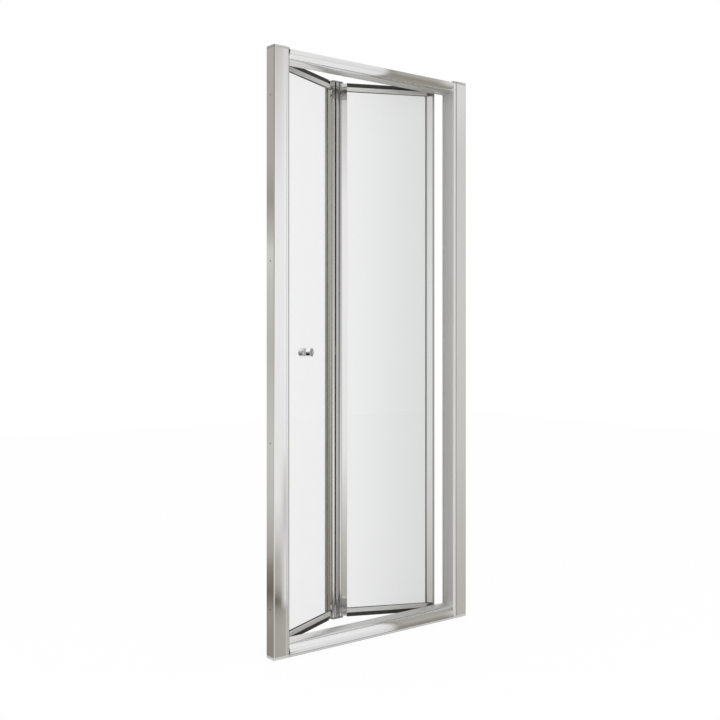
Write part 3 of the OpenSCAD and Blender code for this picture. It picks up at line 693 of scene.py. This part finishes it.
piece("screw_cap_mouldings", mesh, ROOM, "frame", "plastic_grey", ["screw_caps"])
print("soft parts of the posts done")

# %% [markdown]
# A panel is drawn in its own plan: u runs from the pivot to the hinge and v from front to back. Both panels come
# from the same drawing through two matrices. The edge stile is a box with a groove for the pane; the hinge stile
# is narrower and ends in a neck with a round bead, which turns in the spine's socket.

# %% Stiles
edge_stile = outline((EDGE_OUT, -10.5, 0.8), (EDGE_IN, -10.5, 0.8), (EDGE_IN, -2, 0.3), (EDGE_IN - 8, -2),
                     (EDGE_IN - 8, 5), (EDGE_IN, 5, 0.3), (EDGE_IN, 11, 0.8), (EDGE_OUT, 11, 0.8))
hinge_stile = outline((HINGE_IN, -10.5, 0.8), (HINGE_IN, -2, 0.3), (HINGE_IN + 8, -2), (HINGE_IN + 8, 5),
                      (HINGE_IN, 5, 0.3), (HINGE_IN, 11, 0.8), (HINGE_OUT, 11, 0.8), (HINGE_OUT, -7.5, 0.5),
                      *arc(ARM, -9, 5.5, 164.17, -164.17, 36))
PANELS = (("pivot", PIVOT, "pivot_panel", "inner_hinge_stile"),
          ("leading", LEADING, "leading_panel", "outer_hinge_stile"))
for name, place_at, body, hinge_node in PANELS:
    section(name + "_edge_extrusion", [edge_stile], STILE_LO, STILE_HI, place_at, body, "aluminium_upright",
            [name + "_stile"])
    section(name + "_hinge_extrusion", [hinge_stile], STILE_LO, STILE_HI, place_at, body, "aluminium_upright",
            [hinge_node])
print("stiles done")

# %% [markdown]
# Over and under each pane a small channel joins the two stiles, and a black seal with three lips sits on it and
# brushes the frame's rails. The lower pair is the upper one turned upside down.

# %% Panel rails and their seals
panel_rail = outline((-7, 0, 0.6), (-7, 13, 0.5), (7.5, 13, 0.5), (7.5, 0, 0.5), (5, 0), (5, 8), (-2, 8), (-2, 0))
lips_and_painted_shade = outline((-5.35, 0, 0.3), (-5.35, 9.5), (-4.75, 14, 0.6), (-2.55, 14, 0.6), (-1.95, 8, 0.5), (2.45, 8, 0.5),
               (3.05, 14, 0.6), (5.25, 14, 0.6), (5.85, 9.5), (5.85, 0, 0.3))
for name, place_at, body, _ in PANELS:
    for end, z, sense in (("top", GLASS_HI, Matrix.Identity(4)), ("bottom", GLASS_LO, DOWN)):
        level = place_at @ Matrix.Translation((0, 0, z)) @ sense
        # The panel rails' finishes are lighter, half-metal copies of the aluminium: painted light.
        section(name + "_" + end + "_rail_extrusion", [panel_rail], EDGE_IN, HINGE_IN, level @ ALONG, body,
                "aluminium_" + name + "_rail", [name + "_" + end + "_rail"])
        section(name + "_" + end + "_lip_seal", [lips_and_painted_shade], EDGE_IN, HINGE_IN,
                level @ Matrix.Translation((0, 0, 13)) @ ALONG, body, "rubber_black", [name + "_" + end + "_seal"])
print("panel rails and seals done")

# %% [markdown]
# The panels' outer edges carry a soft grey profile with a rounded nose; the one on the leading panel holds the
# magnet that meets the strip on the jamb.

# %% Edge seals
nose = outline((EDGE_OUT, -5.75, 0.3), *arc(-13.1, 0.25, 6, 270, 246.42, 6), *arc(-13.1, 0.25, 6, 113.58, 90, 6),
               (EDGE_OUT, 6.25, 0.3))
for name, place_at, body, _ in PANELS:
    node = "pivot_edge_seal" if name == "pivot" else "leading_magnet_seal"
    section(name + "_edge_profile", [nose], STILE_LO, STILE_HI, place_at, body, "seal_grey", [node])
print("edge seals done")

# %% [markdown]
# The spine is the heart of the hinge: a convex bar down the middle and a C-shaped socket on each side that holds
# a stile's bead. The dark valley between bar and socket is what makes the hinge read as three bright lines. Two
# caps close its ends, with a screw head over each axis.

# %% Hinge spine
bar = outline((-7.5, -6.0, 0.5), *arc(0, 5.68, 13.88, 239, 301, 16), (7.5, -6.0, 0.5), (7.5, -1), (8.5, -1),
              (8.5, 6.5, 0.5), (-8.5, 6.5, 0.5), (-8.5, -1), (-7.5, -1))
mesh = bmesh.new()
extrude(mesh, [bar], STILE_LO, STILE_HI)
for s in (-1, 1):
    socket = arc(0, 0, 8.2, 309, 519, 44) + arc(0, 0, 5.7, 519, 309, 36)
    extrude(mesh, [[(s * (x - 15), y) for x, y in socket]], STILE_LO, STILE_HI)
piece("hinge_spine_extrusion", mesh, SPINE, "hinge", "aluminium_hinge", ["hinge_spine"])
print("spine done")

# %% [markdown]
# Each cap is an oval plate. The screws over the two axes hold the stiles' beads, and a third one holds the cap. A
# head is a turned disc with a ring on top, and the ring's hole is the cross for the screwdriver.

# %% Hinge caps and screw heads
def screw(mesh, x, y, foot, length, radius, shank, turn):
    """A pan-head screw with a cross recess: shank below, head above."""
    at = turn @ Matrix.Translation((x, y, foot))
    head = [(p.x, p.y) for p in outline((0, 0), (radius, 0, 0.1), (radius, 0.35), (0, 0.35))]
    turned(mesh, [(0, -length), (shank, -length), (shank, 0.01), (0, 0.01)], at, 20)
    turned(mesh, head, at, 32)
    w, r = 0.42, radius * 0.62
    cross = [(w, w), (w, r), (-w, r), (-w, w), (-r, w), (-r, -w), (-w, -w), (-w, -r), (w, -r), (w, -w), (r, -w),
             (r, w)]
    rim = bmesh.new()
    extrude(rim, [arc(0, 0, radius, 0, 348.75, 31), cross], 0.34, 0.8, (0.01, 0.22))
    bmesh.ops.transform(rim, matrix=at, verts=rim.verts)
    copy = bpy.data.meshes.new("rim")
    rim.to_mesh(copy)
    mesh.from_mesh(copy)
    bpy.data.meshes.remove(copy)


oval = arc(-15, 0, 9.3, 90, 270, 24) + arc(15, 0, 9.3, -90, 90, 24)
TOP_OF_SPINE = SPINE @ Matrix.Translation((0, 0, STILE_HI + 0.3))
FOOT_OF_SPINE = SPINE @ Matrix.Translation((0, 0, STILE_LO - 0.3)) @ DOWN
pins, screws = bmesh.new(), bmesh.new()
to_spine = SPINE.inverted()
for end, place_at in (("top", TOP_OF_SPINE), ("bottom", FOOT_OF_SPINE)):
    mesh = bmesh.new()
    extrude(mesh, [oval], 0, 4, (0.2, 0.6))
    piece("hinge_" + end + "_cap_moulding", mesh, place_at, "hinge", "cap_grey", ["hinge_" + end + "_cap"])
    for x in (-15, 15):
        screw(pins, x, 0, 4, 24, 3.2, 2.0, to_spine @ place_at)
    screw(screws, 0, 2.75, 4, 18, 2.8, 1.6, to_spine @ place_at)
piece("hinge_axis_screws", pins, SPINE, "hinge", "steel_screw", ["hinge_pins"])
piece("hinge_cap_screw_pair", screws, SPINE, "hinge", "steel_screw", ["hinge_cap_screws"])
print("hinge caps done")

# %% [markdown]
# The knobs are turned brass, chromed: a drum with a small waist at the washer, rounded rims and a slightly
# dished end. Both come from one profile.

# %% Knobs
KNOB_U, KNOB_Z = 155, 920
knob = [(p.x, p.y) for p in outline((0, 1), (11.4, 1, 0.4), (13.5, 3.8, 1.5), (13.5, 19, 1.4), (10.4, 19, 0.7),
                                    (9.6, 18.6), (0, 18.4))]
for name, v, quarter, look in (("outer", -1.5, math.pi / 2, "chrome_bright"),
                               ("inner", 4.5, -math.pi / 2, "chrome_soft")):
    mesh = bmesh.new()
    turned(mesh, knob, steps=72)
    piece(name + "_knob_turning", mesh,
          PIVOT @ Matrix.Translation((KNOB_U, v, KNOB_Z)) @ Matrix.Rotation(quarter, 4, "X"), "pivot_panel", look,
          [name + "_knob"])
print("pieces built:", len(built))

# %% [markdown]
# The studio is white for the camera. Polished metal is only as good as the room that it mirrors, so the room is
# drawn as a function of direction: a bright front, a darker and warmer ground line, a grey flat on the right, a
# grey back on the left. Each zone is a ramp over height, and the zones are blended by direction.

# %% Tones of the room
world = bpy.data.worlds.new("studio")
world.use_nodes = True
scene.world = world
sky = Wire(world.node_tree)
direction = sky.node("TexCoord", output=0)
east, north, height = direction.split()


def shown(grey):
    """The light that the silver metal shows as this grey: the darker, the warmer."""
    warmth = min(1.3, max(0.0, (215 - grey) / 90))
    rgb = (grey * (1 + 0.035 * warmth), grey, grey * (1 - 0.075 * warmth))
    return tuple((c / 255) ** 2.2 / s for c, s in zip(rgb, SILVER))


def level(wire, stops):
    """A ramp over height: stops are (height from -1 to 1, shown grey)."""
    ramp = [((at + 1) / 2, shown(grey)) for at, grey in stops]
    return wire.node("ValToRGB", {"stops": ramp}, {0: wire * 0.5 + 0.5})


RISE = [0.262, 0.215, 0.17, 0.126, 0.077, -0.017, -0.112]
rail_wall = level(height, [(-1, 224), (-0.4, 228), (-0.29, 212), (-0.15, 216), (0, 219), (0.2355, 222), (0.4, 228),
                           (0.6, 231), (1, 226)])
post_left = level(height, [(-1, 150), (-0.30, 157), (-0.275, 160), (-0.266, 155), (-0.258, 141), (-0.2535, 112),
                           (-0.2485, 84), (-0.2445, 120), (-0.24, 160), (-0.213, 171), (-0.195, 200), (-0.16, 226)]
                  + list(zip(RISE[::-1], (226, 229, 230, 227, 218, 208, 191))) + [(0.3, 186)])
post_right = level(height, [(-1, 150), (-0.30, 157), (-0.266, 163), (-0.258, 152), (-0.2545, 146), (-0.2515, 222),
                            (-0.24, 217), (-0.213, 218), (-0.195, 203), (-0.18, 188), (-0.158, 186), (-0.13, 205)]
                   + list(zip(RISE[::-1], (227, 234, 234, 233, 231, 224, 210))) + [(0.3, 205)])
near_stile = level(height, [(-1, 150), (-0.3, 158), (-0.24, 164), (-0.195, 186), (-0.15, 210), (-0.112, 228),
                            (0.05, 231), (0.126, 230), (0.17, 216), (0.215, 198), (0.26, 190), (1, 180)])
far_stile = level(height, [(-1, 160), (-0.3, 168), (-0.24, 178), (-0.195, 194), (-0.15, 204), (-0.112, 211), (0, 217),
                           (0.126, 213), (0.17, 209), (0.215, 202), (0.26, 195), (1, 180)])
grey_flat = level(height, [(-1, 150), (-0.7, 142), (-0.3, 132), (-0.2, 143), (0, 152), (0.26, 166), (0.6, 160),
                           (1, 155)])
right_wall = level(height, [(-1, 150), (-0.243, 176), (-0.19, 182), (-0.11, 192), (0, 197), (0.08, 199), (0.17, 199),
                            (0.215, 211), (0.3, 205), (1, 170)])
far_right = level(height, [(-1, 140), (-0.3, 120), (-0.19, 118), (-0.1, 140), (0, 158), (0.1, 152), (0.3, 158),
                           (1, 200)])
print("tones ready")

# %% [markdown]
# The left side and the back of the room show in the posts' sides. Low on the left it is dark and high up it is
# white, which the round knob needs, and there is one dark stand that draws the fine line down the post's corner.

# %% The left side and the back of the room
back_left = level(height, [(-1, 128), (-0.283, 131), (-0.266, 140), (-0.258, 136), (-0.249, 114), (-0.24, 96),
                           (-0.231, 118), (-0.222, 117), (-0.213, 150), (-0.195, 166), (-0.158, 184), (-0.112, 189),
                           (-0.017, 177), (0.05, 188), (0.077, 200), (0.09, 178), (0.126, 147), (0.16, 162),
                           (0.262, 165), (1, 170)])
back_far_left = level(height, [(-1, 160), (-0.4, 165), (-0.25, 170), (-0.19, 158), (-0.11, 155), (0, 162),
                               (0.077, 168), (0.12, 180), (0.17, 188), (0.21, 183), (0.3, 175), (1, 170)])
far_left = level(height, [(-1, 60), (-0.85, 40), (-0.37, 36), (-0.31, 108), (-0.16, 122), (0, 145), (0.1, 158),
                          (0.2, 152), (0.31, 160), (0.37, 245), (1, 245)])
stand = level(height, [(-1, 215), (-0.26, 215), (-0.22, 235), (-0.12, 230), (-0.02, 175), (0.1, 120), (0.2, 70),
                       (0.35, 60), (1, 120)])
print("the left side and the back have their ramps")

# %% [markdown]
# Now the zones are joined. In front, the bearing (east over south) picks the zone, because each upright of the door
# faces its own bearing. The level rails see every height but only a small stretch of east, so east and height pick
# theirs: a bright wall, a dark soft line, and a grey flat beyond. Behind, east does the same for the posts' sides.

# %% Join the zones
bearing = east / north * -1.0
post = bearing.remap(0.6795, 0.6875).blend(post_left, post_right)
beside_post = bearing.remap(0.6935, 0.6965) + (height * height).remap(0.095, 0.110)
room = beside_post.remap(0.0, 1.0).blend(post, rail_wall)
beyond = east + 0.0115 * north + north.remap(0.45, 0.85) * 0.024 - 0.617
room = beyond.remap(-0.003, 0.001).blend(room, shown(118))
room = beyond.remap(0.001, 0.007).blend(room, grey_flat)
flat = room
upright = (height * height).remap(0.25, 0.16)
room = (east.remap(0.662, 0.668) * upright).blend(room, right_wall)
room = (east.remap(0.745, 0.775) * upright).blend(room, shown(60))
stiles = bearing.remap(-0.185, -0.135).blend(near_stile, far_stile)
room = bearing.remap(0.10, 0.40).blend(stiles, room)
room = (east.remap(-0.24, -0.36) * north.remap(-0.02, -0.12)).blend(room, stand)
back = east.remap(-0.60, -0.66).blend(back_left, back_far_left)
back = height.remap(0.31, 0.40).blend(back, shown(245))
back = east.remap(-0.80, -0.90).blend(back, far_left)
under = height.remap(-0.33, -0.40) * east.remap(0.4, 0.2) * north.remap(0.62, 0.52)
back = under.blend(back, shown(36))
back = east.remap(-0.30, 0.10).blend(back, flat)
room = north.remap(-0.03, 0.03).blend(room, back)
room = east.remap(0.925, 0.95).blend(room, far_right)
print("zones joined")

# %% [markdown]
# Only mirrored rays see the room. The camera sees plain white, and everything dull is lit by a plain pale sky.

# %% Who sees the room
path = sky.node("LightPath").socket.node
glossy = Wire(world.node_tree, path.outputs["Is Glossy Ray"])
camera_ray = Wire(world.node_tree, path.outputs["Is Camera Ray"])
light = camera_ray.blend(glossy.blend(0.9, room), 1.0)
world.node_tree.links.new(light.socket, world.node_tree.nodes["Background"].inputs["Color"])
print("room drawn")

# %% [markdown]
# The floor is white paper. The camera sees it as light, so that it melts into the white background, but a small
# share of it stays ordinary paper and keeps the door's shadow.

# %% Floor
bpy.ops.mesh.primitive_plane_add(size=14, location=(0, 0, 0))
floor = bpy.context.object
floor.name = "studio_floor"
shader, wire = finish("floor_paper", Base_Color=(0.95, 0.95, 0.95), Roughness=0.9)
tree = finishes["floor_paper"].node_tree
rays = wire.node("LightPath").socket.node
seen = Wire(tree, rays.outputs["Is Camera Ray"])
glow = wire.node("Emission", inputs={"Color": (1, 1, 1), "Strength": 1.0})
mixed = wire.node("MixShader", inputs={0: seen * 0.93, 1: Wire(tree, shader.outputs[0]), 2: glow})
tree.links.new(mixed.socket, tree.nodes["Material Output"].inputs["Surface"])
floor.data.materials.append(finishes["floor_paper"])
floor.visible_glossy = False
print("floor", floor.dimensions[:2])

# %% [markdown]
# One large soft lamp from the upper left gives the shadow on the floor. It is left out of mirror images, because
# the room already holds every bright and dark area that the metal should show.

# %% Lamp
lamp = bpy.data.lights.new("softbox", "AREA")
lamp.energy = 40
lamp.size = 2.0
softbox = bpy.data.objects.new("softbox", lamp)
softbox.location = (-1.6, -2.6, 3.0)
softbox.rotation_euler = (Vector((0, 0, 0.9)) - softbox.location).to_track_quat("-Z", "Y").to_euler()
softbox.visible_glossy = False
scene.collection.objects.link(softbox)
scene.view_settings.view_transform = "Standard"
print("lamp", lamp.energy, "W")

# %% [markdown]
# The rails mirror the panels behind them. A mirrored ray meets the pivot pane almost edge on, where a path tracer
# loses light between its two faces and draws a grey wedge that the photograph doesn't show. So this pane stays
# out of the metal's mirror images.

# %% The pane in the mirror images
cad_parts["pivot_glass"].visible_glossy = False
print("pivot_glass left out of mirror images")

# %% [markdown]
